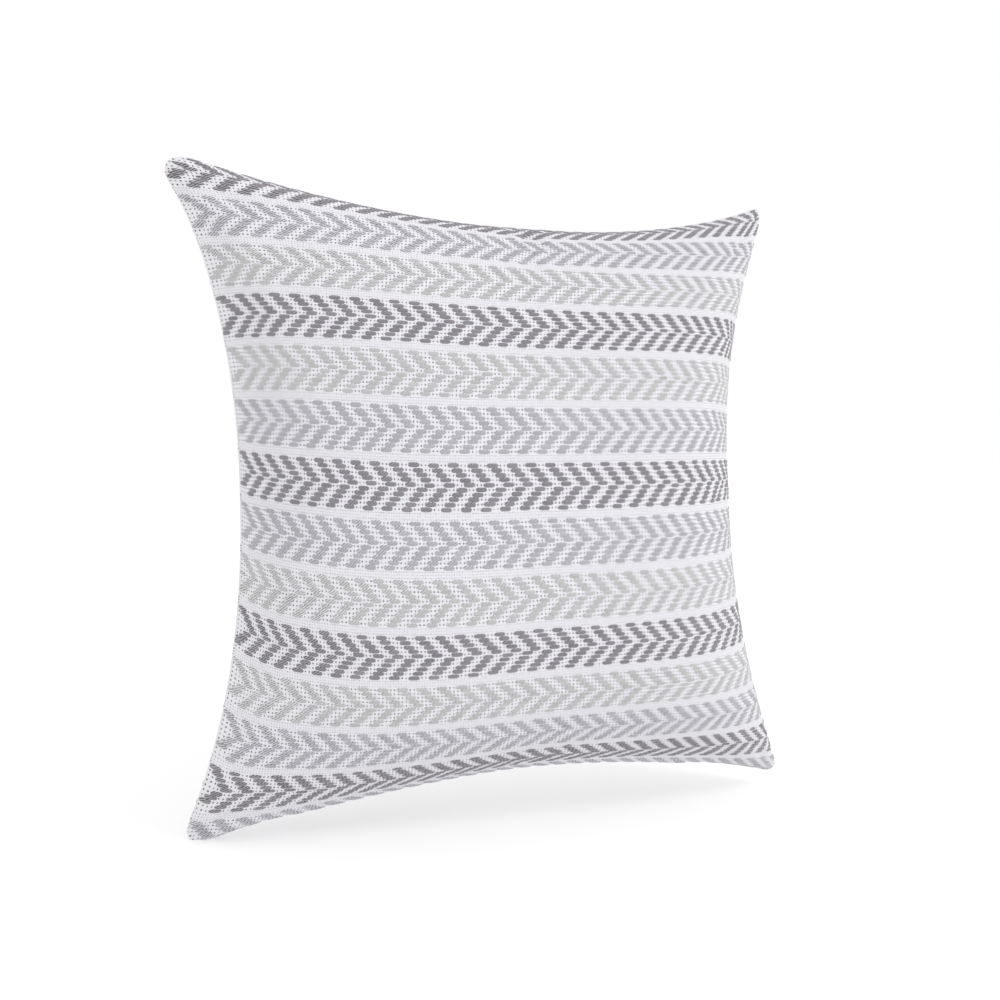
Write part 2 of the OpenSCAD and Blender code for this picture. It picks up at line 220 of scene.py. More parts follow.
# Each panel's rim as it rolls over and turns in: how far in it is, its share of the rim's
# half thickness, and its plane along the zip, whose tape is sewn to the turned-in cloth
ROLLS = {-1: [(-0.0007, 0.72, -0.0011), (-0.0006, 0.3, -0.0005), (0.0010, 0.1, -0.0004),
              (0.0045, 0.08, -0.0010), (0.0120, 0.08, -0.0010)],
         1: [(-0.0007, 0.72, 0.0062), (-0.0006, 0.3, 0.0058), (0.0010, 0.1, 0.0058),
             (0.0045, 0.08, 0.0066), (0.0120, 0.08, 0.0066)]}


def sampled(panel, u, v):
    """Point of a panel at cloth shares u and v, by a cubic curve through its grid points
    across and another up."""
    def weights(f):
        return np.stack([((2 - f) * f - 1) * f, (3 * f - 5) * f * f + 2,
                         ((4 - 3 * f) * f + 1) * f, (f - 1) * f * f], -1) / 2
    gu, gv = (u + 1) / 2 * CELLS, (v + 1) / 2 * CELLS
    iu = np.clip(np.floor(gu).astype(int), 0, CELLS - 1)
    iv = np.clip(np.floor(gv).astype(int), 0, CELLS - 1)
    wu, wv = weights(gu - iu), weights(gv - iv)
    total = 0
    for a in range(4):
        row = np.clip(iv + a - 1, 0, CELLS)
        for b in range(4):
            column = np.clip(iu + b - 1, 0, CELLS)
            total = total + (wv[..., a] * wu[..., b])[..., None] * panel[row, column]
    return total


def on_cloth(side, u, v, height):
    """Point that stands height above the front (side -1) or back (side 1) panel at cloth
    shares u and v, along the normal, which is the cross product of the surface's slopes."""
    panel = front if side < 0 else back
    d = 0.004
    lo_u, hi_u = np.clip(u - d, -1, 1), np.clip(u + d, -1, 1)
    lo_v, hi_v = np.clip(v - d, -1, 1), np.clip(v + d, -1, 1)
    slope_u = sampled(panel, hi_u, v) - sampled(panel, lo_u, v)
    slope_v = sampled(panel, u, hi_v) - sampled(panel, u, lo_v)
    normal = np.cross(slope_u, slope_v) * -side
    normal /= np.linalg.norm(normal, axis=-1, keepdims=True) + 1e-12
    point = sampled(panel, u, v)
    edge = np.maximum(np.abs(u), np.abs(v))
    at_rim = np.clip((edge - 0.985) / 0.015, 0, 1)
    zip_here = np.clip((ZIP_HALF + 0.008 - np.abs(point[..., 0])) / 0.012, 0, 1)
    near_zip = zip_here * np.clip(1 - (v + 1) / 0.1, 0, 1) ** 2
    point[..., 1] += side * RIM + (side > 0) * BACK_LIP_OUT * near_zip
    point[..., 2] += LIP_UP[side] * near_zip
    normal[..., 1] = normal[..., 1] * (1 - at_rim * 0.3)
    return point + normal * height[..., None]


def linear(code):
    """The linear colour of an sRGB hex value."""
    c = np.array([int(code[i:i + 2], 16) / 255 for i in (1, 3, 5)])
    return (*np.where(c <= 0.04045, c / 12.92, ((c + 0.055) / 1.055) ** 2.4), 1)


def add(tree, kind, values=(), **settings):
    """Adds a node, sets its settings, and sets or links its inputs by place or by name."""
    node = tree.nodes.new(kind)
    for name, value in settings.items():
        setattr(node, name, value)
    for name, value in (values.items() if isinstance(values, dict) else enumerate(values)):
        if value is None:
            continue
        if isinstance(value, bpy.types.NodeSocket):
            tree.links.new(value, node.inputs[name])
        else:
            node.inputs[name].default_value = value
    return node


def material(name):
    """An empty material with its surface shader, and its node tree."""
    made_of = bpy.data.materials.new(name)
    made_of.use_nodes = True
    return made_of, made_of.node_tree, made_of.node_tree.nodes["Principled BSDF"]


# The band's pitch up the cloth, and within it ten picks and a plain strip. Five warp ends
# make one repeat of the pattern across.
BAND = 33.97
BAND_SHIFT = -4.55
PICK = 2.86
REPEAT = 14.01
END = REPEAT / 5
# The strips between the bands are woven finer: picks this far apart in millimetres, and
# three ends in the room of two
FINE_PICK = 1.9
FINE_ENDS = 3
# The columns of holes are counted from this far left of the middle, in millimetres
HOLE_SHIFT = 0.6

white_cotton, tree, shader = material("plain_woven_cotton_white")
# Bleached cotton: matt, a little fuzzy, with pinholes where four threads cross, painted near black as
# the shade that falls inside them.
shader.inputs["Roughness"].default_value = 0.92
shader.inputs["Sheen Weight"].default_value = 0.15
shader.inputs["Sheen Roughness"].default_value = 0.6
shader.inputs["Specular IOR Level"].default_value = 0.2
place = add(tree, "ShaderNodeUVMap", uv_map="cloth").outputs[0]
cut = add(tree, "ShaderNodeSeparateXYZ", [place])
across = add(tree, "ShaderNodeMath", [cut.outputs[0], 1 / END, HOLE_SHIFT / END],
             operation="MULTIPLY_ADD").outputs[0]
bands = add(tree, "ShaderNodeMath", [cut.outputs[1], 1 / BAND, -BAND_SHIFT / BAND],
            operation="MULTIPLY_ADD").outputs[0]
in_band = add(tree, "ShaderNodeMath", [bands], operation="FRACT").outputs[0]
from_middle = add(tree, "ShaderNodeMath", [in_band, 0.5], operation="SUBTRACT").outputs[0]
off_middle = add(tree, "ShaderNodeMath", [from_middle], operation="ABSOLUTE").outputs[0]
plain = add(tree, "ShaderNodeMath", [off_middle, 5 * PICK / BAND],
            operation="GREATER_THAN").outputs[0]


def crossings(picks, ends, width, height):
    """How near a point is to a hole between threads: 1 less the squared distance from the
    nearest whole count of picks and ends, in hole radii."""
    parts = []
    for count, scale in ((picks, height), (ends, width)):
        off = add(tree, "ShaderNodeMath", [count, 1.0], operation="PINGPONG").outputs[0]
        far = add(tree, "ShaderNodeMath", [off, scale], operation="MULTIPLY").outputs[0]
        parts.append(add(tree, "ShaderNodeMath", [far, 2.0], operation="POWER").outputs[0])
    total = add(tree, "ShaderNodeMath", parts, operation="ADD").outputs[0]
    return add(tree, "ShaderNodeMath", [1.0, total], operation="SUBTRACT",
               use_clamp=True).outputs[0]


coarse_picks = add(tree, "ShaderNodeMath", [from_middle, 2 * BAND / PICK, 1.0],
                   operation="MULTIPLY_ADD").outputs[0]
coarse_ends = add(tree, "ShaderNodeMath", [across, 2.0], operation="MULTIPLY").outputs[0]
fine_picks = add(tree, "ShaderNodeMath", [from_middle, 2 * BAND / FINE_PICK],
                 operation="MULTIPLY").outputs[0]
fine_ends = add(tree, "ShaderNodeMath", [across, float(FINE_ENDS)],
                operation="MULTIPLY").outputs[0]
# Hole radii, in millimetres: 0.62 across and 0.72 up in the bands, 0.52 in the plain strips
coarse = crossings(coarse_picks, coarse_ends, END / 2 / 0.62, PICK / 2 / 0.72)
fine = crossings(fine_picks, fine_ends, END / FINE_ENDS / 0.52, FINE_PICK / 2 / 0.52)
holes = add(tree, "ShaderNodeMix", {0: plain, 2: coarse, 3: fine}).outputs[0]
# The painted shade in the pinholes varies at random in strength, and is weaker in the plain strips
uneven = add(tree, "ShaderNodeTexNoise",
             {"Vector": place, "Scale": 0.55, "Detail": 1.0}).outputs[0]
hole_shade_depth = add(tree, "ShaderNodeMapRange", {0: uneven, 1: 0.35, 2: 0.65, 3: 0.5, 4: 1.9}).outputs[0]
weak = add(tree, "ShaderNodeMapRange", {0: plain, 1: 0.0, 2: 1.0, 3: 1.0, 4: 0.45}).outputs[0]
strength = add(tree, "ShaderNodeMath", [hole_shade_depth, weak], operation="MULTIPLY").outputs[0]
dark = add(tree, "ShaderNodeMath", [holes, strength], operation="MULTIPLY").outputs[0]
mottle = add(tree, "ShaderNodeTexNoise",
             {"Vector": place, "Scale": 0.9, "Detail": 3.0}).outputs[0]
cotton = add(tree, "ShaderNodeMix", {0: mottle, 6: linear("#e1e0e6"), 7: linear("#f1f0f4")},
             data_type="RGBA").outputs[2]
# Painted shade: the pinholes are coloured near black, as the shade inside them
colour = add(tree, "ShaderNodeMix", {0: dark, 6: cotton, 7: linear("#3b393f")},
             data_type="RGBA").outputs[2]
tree.links.new(colour, shader.inputs["Base Color"])
threads_up = add(tree, "ShaderNodeTexWave", {"Vector": place, "Scale": 0.355, "Distortion": 0.6,
                 "Detail": 1.0}, bands_direction="X").outputs[1]
threads_across = add(tree, "ShaderNodeTexWave", {"Vector": place, "Scale": 0.32, "Distortion": 0.6,
                     "Detail": 1.0}, bands_direction="Y").outputs[1]
weave = add(tree, "ShaderNodeMath", [threads_up, threads_across], operation="ADD").outputs[0]
relief = add(tree, "ShaderNodeMath", [holes, -1.6, weave], operation="MULTIPLY_ADD").outputs[0]
bump = add(tree, "ShaderNodeBump",
           {"Strength": 0.5, "Distance": 0.0005, "Height": relief}).outputs[0]
tree.links.new(bump, shader.inputs["Normal"])

MESH = 180


def lay_flat(obj, name, places):
    """Gives the object a UV map whose values are each point's own place, repeated for every
    face corner that uses the point."""
    corner = np.empty(len(obj.data.loops), int)
    obj.data.loops.foreach_get("vertex_index", corner)
    obj.data.uv_layers.new(name=name).data.foreach_set("uv", places[corner].ravel())


def round_rim(cells):
    """Numbers of the points round the rim of a square grid, in order, by its four edges."""
    ends, row = np.arange(cells), cells + 1
    back_along = np.arange(cells, 0, -1)
    return np.concatenate([ends, ends * row + cells, row * cells + back_along, back_along * row])


def strips_between(levels):
    """Faces that join each closed ring of point numbers to the one before it."""
    return [np.stack([a, np.roll(a, -1), np.roll(b, -1), b], -1)
            for a, b in zip(levels[1:], levels)]


fine_share = np.linspace(-1, 1, MESH + 1)
FU, FV = np.meshgrid(fine_share, fine_share)
for side, name in ((-1, "front"), (1, "back")):
    top = on_cloth(side, FU, FV, 0 * FU)
    # The rim rolls over and runs a few millimetres into the seam
    round_edge = round_rim(MESH)
    outline = top.reshape(-1, 3)[round_edge]
    centre = np.array([0.0, 0, 0.222])
    inward = (centre - outline) * (1, 0, 1)
    inward /= np.linalg.norm(inward, axis=1, keepdims=True)
    middle = outline[:, 1] - side * RIM
    at_zip = (np.clip((ZIP_HALF + 0.006 - np.abs(outline[:, 0])) / 0.01, 0, 1)
              * (outline[:, 2] < 0.05))
    rolls = ROLLS[side]
    rows = [outline + inward * reach for reach, _, _ in rolls]
    for row, (_, part, beside) in zip(rows, rolls):
        row[:, 1] = (middle + side * RIM * part) * (1 - at_zip) + beside * at_zip
    points = np.concatenate([top.reshape(-1, 3)] + rows)
    n, count = len(round_edge), (MESH + 1) ** 2
    levels = [round_edge] + [count + k * n + np.arange(n) for k in range(len(rolls))]
    faces = np.concatenate([squares(MESH + 1, MESH + 1)] + strips_between(levels))
    if side > 0:
        faces = faces[:, ::-1]
    cover = made("cover_cloth_" + name, points, faces)
    lay = np.stack(cloth_share(FU, FV), -1).reshape(-1, 2)
    shares = np.concatenate([lay] + [lay[round_edge]] * len(rolls))
    lay_flat(cover, "cloth", shares * FLAT / 2 * 1000)
    wall = cover.modifiers.new("thickness", "SOLIDIFY")
    wall.thickness, wall.offset = 0.0009, -1
    cover.data.materials.append(white_cotton)
    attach(cover, "pillow")
    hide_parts("cover_" + name)


# ---- Woven floats ------------------------------------------------------------------------
# Thick soft yarn laid in as weft. Each pick goes over three warp ends and under two, and
# each next pick steps one end aside: five to the right, then five to the left.

ORDER = "DMLDLMDMLDLMDM"
FLOAT_LONG, FLOAT_WIDE, FLOAT_HIGH = 8.6, 3.2, 0.75
ALONG, AROUND = 7, 6


def yarn(name, dark_tone_and_shade_code, light_tone_and_highlight_code):
    """Soft low-twist cotton yarn: matt, with its plies as slanted ridges, painted darker in the
    grooves between them as shade and lighter on the ridges as highlight, mixed with random fuzz and a
    tint per float. They are about 1.25 mm apart, coarser than real, so that they show."""
    made_of, tree, shader = material(name)
    shader.inputs["Roughness"].default_value = 0.9
    shader.inputs["Sheen Weight"].default_value = 0.2
    shader.inputs["Sheen Roughness"].default_value = 0.5
    shader.inputs["Specular IOR Level"].default_value = 0.25
    place = add(tree, "ShaderNodeUVMap", uv_map="yarn").outputs[0]
    plies = add(tree, "ShaderNodeTexWave", {"Vector": place, "Scale": 0.43, "Distortion": 1.2,
                "Detail": 2.0, "Detail Scale": 1.2}, bands_direction="DIAGONAL").outputs[1]
    fuzz = add(tree, "ShaderNodeTexNoise",
               {"Vector": place, "Scale": 2.5, "Detail": 3.0}).outputs[0]
    tint = add(tree, "ShaderNodeAttribute", attribute_name="tint").outputs[2]
    mixed = add(tree, "ShaderNodeMath", [plies, 1.4, fuzz], operation="MULTIPLY_ADD").outputs[0]
    shade = add(tree, "ShaderNodeMath", [tint, 0.35, mixed], operation="MULTIPLY_ADD").outputs[0]
    level = add(tree, "ShaderNodeMapRange", {0: shade, 1: 0.5, 2: 1.95}).outputs[0]
    colour = add(tree, "ShaderNodeMix", {0: level, 6: linear(dark_tone_and_shade_code), 7: linear(light_tone_and_highlight_code)},
                 data_type="RGBA").outputs[2]
    tree.links.new(colour, shader.inputs["Base Color"])
    bump = add(tree, "ShaderNodeBump",
               {"Strength": 0.6, "Distance": 0.0003, "Height": mixed}).outputs[0]
    tree.links.new(bump, shader.inputs["Normal"])
    return made_of


# Each yarn's darker colour holds painted shade from the ply grooves, and its lighter colour holds
# painted highlight from the ridges
yarns = {"D": yarn("cotton_yarn_purplish_grey", "#454147", "#b5b1b7"),
         "M": yarn("cotton_yarn_mid_grey", "#78777e", "#dcdbe1"),
         "L": yarn("cotton_yarn_light_grey", "#8d8c8e", "#e5e4e5")}
words = {"D": "dark", "M": "mid", "L": "light"}

# Rings along one float, from end to end: its share of the full section swells fast from
# nothing at each end. Round the section it is flatter below, where it lies on the cloth.
station = np.sin(np.linspace(-np.pi / 2, np.pi / 2, ALONG + 2))
section = np.sqrt(np.clip(1 - np.abs(station) ** 5, 0, 1))
turn = np.linspace(0, 2 * np.pi, AROUND, endpoint=False)
ring_across = np.cos(turn)
ring_up = np.where(np.sin(turn) > 0, np.sin(turn), 0.3 * np.sin(turn))

for side, panel_name in ((-1, "front"), (1, "back")):
    chance = np.random.default_rng(7 + side)
    for kind in "DML":
        places = []
        for band, letter in enumerate(ORDER):
            if letter != kind:
                continue
            for pick in range(10):
                step = pick if pick < 5 else 9.15 - pick
                level = (6.5 - band) * BAND + BAND_SHIFT + (4.5 - pick) * PICK
                start_at = (step - 2) * END + (0.57 * REPEAT if pick > 4 else 0)
                count = np.arange(-19, 20)
                places.append(np.stack([5.0 + start_at + count * REPEAT, 0 * count + level], -1))
        places = np.concatenate(places)
        places = places + chance.normal(0, 0.12, places.shape)
        half = FLAT / 2 * 1000
        at_u, at_v = grid_share(places[:, 0] / half, places[:, 1] / half)
        keep = (np.abs(at_u) < 1 - 1.0 / half) & (np.abs(at_v) < 1 - 0.6 / half)
        places = places[keep]
        total = len(places)
        length = FLOAT_LONG * (1 + chance.normal(0, 0.03, total))
        wide = FLOAT_WIDE * (1 + chance.normal(0, 0.04, total))
        tint = chance.normal(0, 0.15, total)
        # u and v in millimetres for every point of every float, then the height above the cloth
        u = (places[:, 0, None, None] + station[None, :, None] * length[:, None, None] / 2
             + 0 * turn[None, None, :])
        v = (places[:, 1, None, None] + section[None, :, None] * ring_across[None, None, :]
             * wide[:, None, None] / 2)
        h = (section[None, :, None] * ring_up[None, None, :] * FLOAT_HIGH
             - 0.15 - 0.25 * (1 - section[None, :, None])) + 0 * u
        at_u, at_v = grid_share(u / half, v / half)
        points = on_cloth(side, np.clip(at_u, -1, 1), np.clip(at_v, -1, 1), h / 1000)
        rings = ALONG + 2
        quads = squares(AROUND, rings, around=True)
        if side > 0:
            quads = quads[:, ::-1]
        faces = (quads[None] + (np.arange(total) * rings * AROUND)[:, None, None]).reshape(-1, 4)
        floats = made("floats_" + words[kind] + "_" + panel_name, points, faces)
        # Each float starts at its own place in the plies' pattern, by its tint
        lay = np.stack([31.7 * tint[:, None, None] - 0.6 * u, v + 0.6 * h], -1)
        lay_flat(floats, "yarn", lay.reshape(-1, 2))
        floats.data.attributes.new("tint", "FLOAT", "POINT").data.foreach_set(
            "value", np.repeat(tint, rings * AROUND).astype(np.float32))
        floats.data.materials.append(yarns[kind])
        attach(floats, "pillow")


# ---- Seam threads ------------------------------------------------------------------------
# The panels are joined by a lockstitch 4 mm inside the edge, one thread on each side of the
# two turned-in layers, and each raw edge is bound by an overlock thread.

thread, tree, shader = material("spun_polyester_thread_white")
# Spun polyester: two plies twisted, seen as fine slanted bands painted darker in the grooves between
# the plies as shade, with a faint gloss.
shader.inputs["Roughness"].default_value = 0.6
shader.inputs["Sheen Weight"].default_value = 0.1
place = add(tree, "ShaderNodeUVMap", uv_map="thread").outputs[0]
twist = add(tree, "ShaderNodeTexWave", {"Vector": place, "Scale": 0.6},
            bands_direction="DIAGONAL").outputs[1]
shade = add(tree, "ShaderNodeMix", {0: twist, 6: linear("#d5d4d7"), 7: linear("#f1f0f2")},
            data_type="RGBA").outputs[2]
tree.links.new(shade, shader.inputs["Base Color"])
bump = add(tree, "ShaderNodeBump", {"Strength": 0.4, "Distance": 0.0001, "Height": twist}).outputs[0]
tree.links.new(bump, shader.inputs["Normal"])


def tube(name, path, radius, around=6, closed=False):
    """A round thread or wire along a path of points: each ring is a circle on two
    directions square to the path, and its ends are drawn to a point."""
    ahead = np.roll(path, -1, 0) - np.roll(path, 1, 0)
    if not closed:
        ahead[0], ahead[-1] = path[1] - path[0], path[-1] - path[-2]
    ahead /= np.linalg.norm(ahead, axis=1, keepdims=True)
    side_way = np.cross(ahead, (0.05, 1, 0.02))
    side_way /= np.linalg.norm(side_way, axis=1, keepdims=True)
    other_way = np.cross(ahead, side_way)
    turn = np.linspace(0, 2 * np.pi, around, endpoint=False)
    reach = np.full(len(path), radius)
    if not closed:
        reach[[0, -1]] = radius * 0.02
    ring = (side_way[:, None] * np.cos(turn)[:, None] + other_way[:, None] * np.sin(turn)[:, None])
    points = path[:, None] + ring * reach[:, None, None]
    rows = len(path)
    faces = squares(around, rows + 1 if closed else rows, around=True)
    faces = faces % (rows * around)
    obj = made(name, points, faces)
    run = np.concatenate([[0], np.cumsum(np.linalg.norm(np.diff(path, axis=0), axis=1))]) * 1000
    point = np.arange(rows * around)
    lay_flat(obj, "thread", np.stack([run[point // around], (point % around) * 0.3], -1))
    return obj


def along_seam(inset, steps, first, last):
    """Points inset from the seam in its own plane, on the share of its length from first to
    last, counted from the lower right corner, up, left and back along the bottom."""
    t = np.linspace(first, last, steps) * 4
    leg, f = np.floor(t).astype(int) % 4, t % 1 * 2 - 1
    u = np.choose(leg, [1 + 0 * f, -f, -1 + 0 * f, f])
    v = np.choose(leg, [f, 1 + 0 * f, -f, -1 + 0 * f])
    point = sampled(front, u, v)
    inward = (np.array([0.0, 0, 0.222]) - point) * (1, 0, 1)
    inward /= np.linalg.norm(inward, axis=1, keepdims=True)
    return point + inward * inset


# From one end of the zip round by the top to the other
FIRST, LAST = -0.04, 1 - 0.21
# Seven points make one stitch, and ten make one overlock loop
SEAM_POINTS, LOOP_POINTS = 4200, 5600
for name, node, side in (("seam_stitches_upper", "seam_needle_thread", -1),
                         ("seam_stitches_under", "seam_bobbin_thread", 1)):
    line = along_seam(0.004, SEAM_POINTS, FIRST, LAST)
    dip = np.abs(np.cos(np.arange(SEAM_POINTS) * np.pi / 7))
    line[:, 1] += side * (0.0004 + 0.0009 * (1 - dip ** 4))
    stitch = tube(name, line, 0.0002, around=5)
    stitch.data.materials.append(thread)
    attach(stitch, "pillow")
    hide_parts(node)
for name, side in (("front", -1), ("back", 1)):
    line = along_seam(0.0120, LOOP_POINTS, FIRST, LAST)
    loop = np.arange(LOOP_POINTS) * np.pi / 5
    inset = along_seam(0.0125, LOOP_POINTS, FIRST, LAST) - line
    line = line + inset * 1.6 * np.cos(loop)[:, None]
    line[:, 1] += side * 0.0006 + 0.0005 * np.sin(loop)
    stitch = tube("overlock_loops_" + name, line, 0.00018, around=4)
    stitch.data.materials.append(thread)
    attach(stitch, "pillow")
    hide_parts("overlock_thread_" + name)


# ---- Zip ---------------------------------------------------------------------------------
# A nylon coil zip along the lower seam, sewn in behind the front lip: woven tapes, a pair
# of meshed coils, two end stops, a die-cast slider and its pull. The back lip stands higher.

tape, tree, shader = material("woven_polyester_tape_grey")
# Polyester herringbone tape: fine ribs about 0.8 mm apart, painted darker between them as shade,
# slightly glossy.
shader.inputs["Roughness"].default_value = 0.7
shader.inputs["Sheen Weight"].default_value = 0.1
place = add(tree, "ShaderNodeTexCoord").outputs[3]
ribs = add(tree, "ShaderNodeTexWave", {"Vector": place, "Scale": 390.0, "Distortion": 0.4},
           bands_direction="DIAGONAL").outputs[1]
shade = add(tree, "ShaderNodeMix", {0: ribs, 6: linear("#c3c2c7"), 7: linear("#dddce0")},
            data_type="RGBA").outputs[2]
tree.links.new(shade, shader.inputs["Base Color"])
bump = add(tree, "ShaderNodeBump", {"Strength": 0.5, "Distance": 0.0002, "Height": ribs}).outputs[0]
tree.links.new(bump, shader.inputs["Normal"])

nylon, tree, shader = material("drawn_nylon_grey")
# Drawn nylon monofilament: smooth and half glossy, a little uneven in tone.
shader.inputs["Roughness"].default_value = 0.35
shader.inputs["IOR"].default_value = 1.53
place = add(tree, "ShaderNodeTexCoord").outputs[3]
tone = add(tree, "ShaderNodeTexNoise", {"Vector": place, "Scale": 300.0, "Detail": 2.0}).outputs[0]
shade = add(tree, "ShaderNodeMix", {0: tone, 6: linear("#b4b3b8"), 7: linear("#d0cfd4")},
            data_type="RGBA").outputs[2]
tree.links.new(shade, shader.inputs["Base Color"])

zinc, tree, shader = material("nickel_plated_zinc")
# Die-cast zinc, barrel-plated with nickel: soft reflections with fine tumbling scratches.
shader.inputs["Base Color"].default_value = linear("#b9b6b1")
shader.inputs["Metallic"].default_value = 1.0
place = add(tree, "ShaderNodeTexCoord").outputs[3]
worn = add(tree, "ShaderNodeTexNoise", {"Vector": place, "Scale": 900.0, "Detail": 4.0}).outputs[0]
rough = add(tree, "ShaderNodeMapRange", {0: worn, 1: 0.3, 2: 0.7, 3: 0.22, 4: 0.42}).outputs[0]
tree.links.new(rough, shader.inputs["Roughness"])
bump = add(tree, "ShaderNodeBump", {"Strength": 0.15, "Distance": 0.0001, "Height": worn}).outputs[0]
tree.links.new(bump, shader.inputs["Normal"])

for node, finish in (("zip_tape_front", tape), ("zip_tape_back", tape), ("zip_slider_body", zinc),
                     ("zip_pull_tab", zinc), ("zip_top_stop", zinc), ("zip_bottom_stop", zinc)):
    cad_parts[node].data.materials.clear()
    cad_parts[node].data.materials.append(finish)

COIL_PITCH = 0.0014
for side, name in ((-1, "front"), (1, "back")):
    low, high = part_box("zip_coil_" + name)
    middle = (Vector(low) + Vector(high)) / 2
    turns = int((high.x - low.x) / COIL_PITCH)
    t = np.arange(turns * 10) / 10
    # The coil's turns: a flattened helix, whose outer side is sewn to the tape
    path = np.stack([low.x + COIL_PITCH / 2 * (side > 0) + t * COIL_PITCH,
                     middle.y + 0.00052 * np.cos(2 * np.pi * t),
                     middle.z + 0.00052 * np.sin(2 * np.pi * t)], -1)
    coil = tube("nylon_coil_" + name, path, 0.00022, around=6)
    coil.data.materials.append(nylon)
    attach(coil, "pillow")
    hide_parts("zip_coil_" + name)

for name in ("front", "back"):
    low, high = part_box("zip_stitching_" + name)
    t = np.arange(1200)
    dip = np.abs(np.cos(t * np.pi / 12)) ** 4
    lines = []
    for side, y in ((-1, low.y), (1, high.y)):
        lines.append(np.stack([low.x + (high.x - low.x) * t / 1199,
                               y - side * (0.0002 + 0.0006 * dip),
                               0 * t + (low.z + high.z) / 2], -1))
    both = [tube("tape_stitches_" + name + end, line, 0.00019, around=5)
            for end, line in zip(("_upper", "_under"), lines)]
    for stitch in both:
        stitch.data.materials.append(thread)
        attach(stitch, "pillow")
    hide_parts("zip_stitching_" + name)


# ---- Insert ------------------------------------------------------------------------------
# A sewn ticking bag about 90% of the cover's size, stuffed with polyester fibre and closed
# by a line of whip stitches up its right edge.

ticking, tree, shader = material("woven_cotton_ticking")
# Close plain-woven cotton: even, matt, with threads about 0.5 mm apart, painted darker where they dip
# as shade between them.
shader.inputs["Roughness"].default_value = 0.88
shader.inputs["Sheen Weight"].default_value = 0.1
place = add(tree, "ShaderNodeUVMap", uv_map="cloth").outputs[0]
warp, weft = [add(tree, "ShaderNodeTexWave", {"Vector": place, "Scale": 0.62},
                  bands_direction=way).outputs[1] for way in "XY"]
threads = add(tree, "ShaderNodeMath", [warp, weft], operation="MULTIPLY").outputs[0]
shade = add(tree, "ShaderNodeMix", {0: threads, 6: linear("#e6e5e0"), 7: linear("#f4f3ef")},
            data_type="RGBA").outputs[2]
tree.links.new(shade, shader.inputs["Base Color"])
bump = add(tree, "ShaderNodeBump", {"Strength": 0.4, "Distance": 0.0002, "Height": threads}).outputs[0]
tree.links.new(bump, shader.inputs["Normal"])

heart = np.array([0.0, 0, 0.228])
# The insert's seam as a share of the cover's
INSERT = 0.885


def inside(panel, wide, thick):
    """The panel's shape drawn towards the middle of the pillow: by one share in width and
    height and another in thickness."""
    return heart + (smoothed(panel, 6) - heart) * (wide, thick, wide)


GRID = CELLS + 1
edge_ring = round_rim(CELLS)
for side, name, panel in ((-1, "front", front), (1, "back", back)):
    points = inside(panel, INSERT, 0.93).reshape(-1, 3)
    points[:, 1] += side * 0.0010
    rim_points = points[edge_ring]
    toward = (heart - rim_points) * (1, 0, 1)
    toward /= np.linalg.norm(toward, axis=1, keepdims=True)
    turned = [rim_points + toward * reach + (0, -side * down, 0)
              for reach, down in ((-0.0004, 0.0004), (0.0005, 0.0008), (0.008, 0.0008))]
    n = len(edge_ring)
    levels = [edge_ring] + [GRID * GRID + k * n + np.arange(n) for k in range(3)]
    faces = np.concatenate([squares(GRID, GRID)] + strips_between(levels))
    if side > 0:
        faces = faces[:, ::-1]
    bag = made("insert_ticking_" + name, np.concatenate([points] + turned), faces)
    lay = np.stack([U, V], -1).reshape(-1, 2) * 204
    lay = np.concatenate([lay] + [lay[edge_ring]] * 3)
    lay_flat(bag, "cloth", lay)
    wall = bag.modifiers.new("thickness", "SOLIDIFY")
    wall.thickness, wall.offset = 0.0005, -1
    bag.data.materials.append(ticking)
    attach(bag, "pillow")
    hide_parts("insert_" + name)

for name, node, side in (("insert_stitches_upper", "insert_needle_thread", -1),
                         ("insert_stitches_under", "insert_bobbin_thread", 1)):
    line = heart + (along_seam(0.0034, 3600, 0, 1)[:-1] - heart) * (INSERT, 1, INSERT)
    line[:, 1] += side * (0.0004 + 0.0006 * (1 - np.abs(np.cos(np.arange(3599) * np.pi / 7)) ** 4))
    stitch = tube(name, line, 0.0002, around=4, closed=True)
    stitch.data.materials.append(thread)
    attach(stitch, "pillow")
    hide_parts(node)

# Whip stitches: a thread that winds over the edge, up the middle of the right side
line = heart + (along_seam(0.0005, 740, 0.125 - 0.031, 0.125 + 0.031) - heart) * (INSERT, 1, INSERT)
loop = np.arange(740) * np.pi / 10
line[:, 0] += 0.0016 * np.cos(loop)
line[:, 1] += 0.0016 * np.sin(loop)
stitch = tube("whip_stitches", line, 0.00025, around=5)
stitch.data.materials.append(thread)
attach(stitch, "pillow")
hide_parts("insert_closing_stitch")

fibre, tree, shader = material("polyester_fibre_fill")
# Crimped hollow polyester fibre: bright, soft clumps with fine tangled strands, painted darker where
# the clumps dip as shade between them.
shader.inputs["Roughness"].default_value = 1.0
shader.inputs["Sheen Weight"].default_value = 0.4
place = add(tree, "ShaderNodeTexCoord").outputs[3]
tangle = add(tree, "ShaderNodeTexNoise", {"Vector": place, "Scale": 160.0, "Detail": 6.0,
             "Distortion": 2.0}).outputs[0]
shade = add(tree, "ShaderNodeMix", {0: tangle, 6: linear("#dcdcdc"), 7: linear("#fbfbfb")},
            data_type="RGBA").outputs[2]
tree.links.new(shade, shader.inputs["Base Color"])
bump = add(tree, "ShaderNodeBump", {"Strength": 0.8, "Distance": 0.002, "Height": tangle}).outputs[0]
tree.links.new(bump, shader.inputs["Normal"])

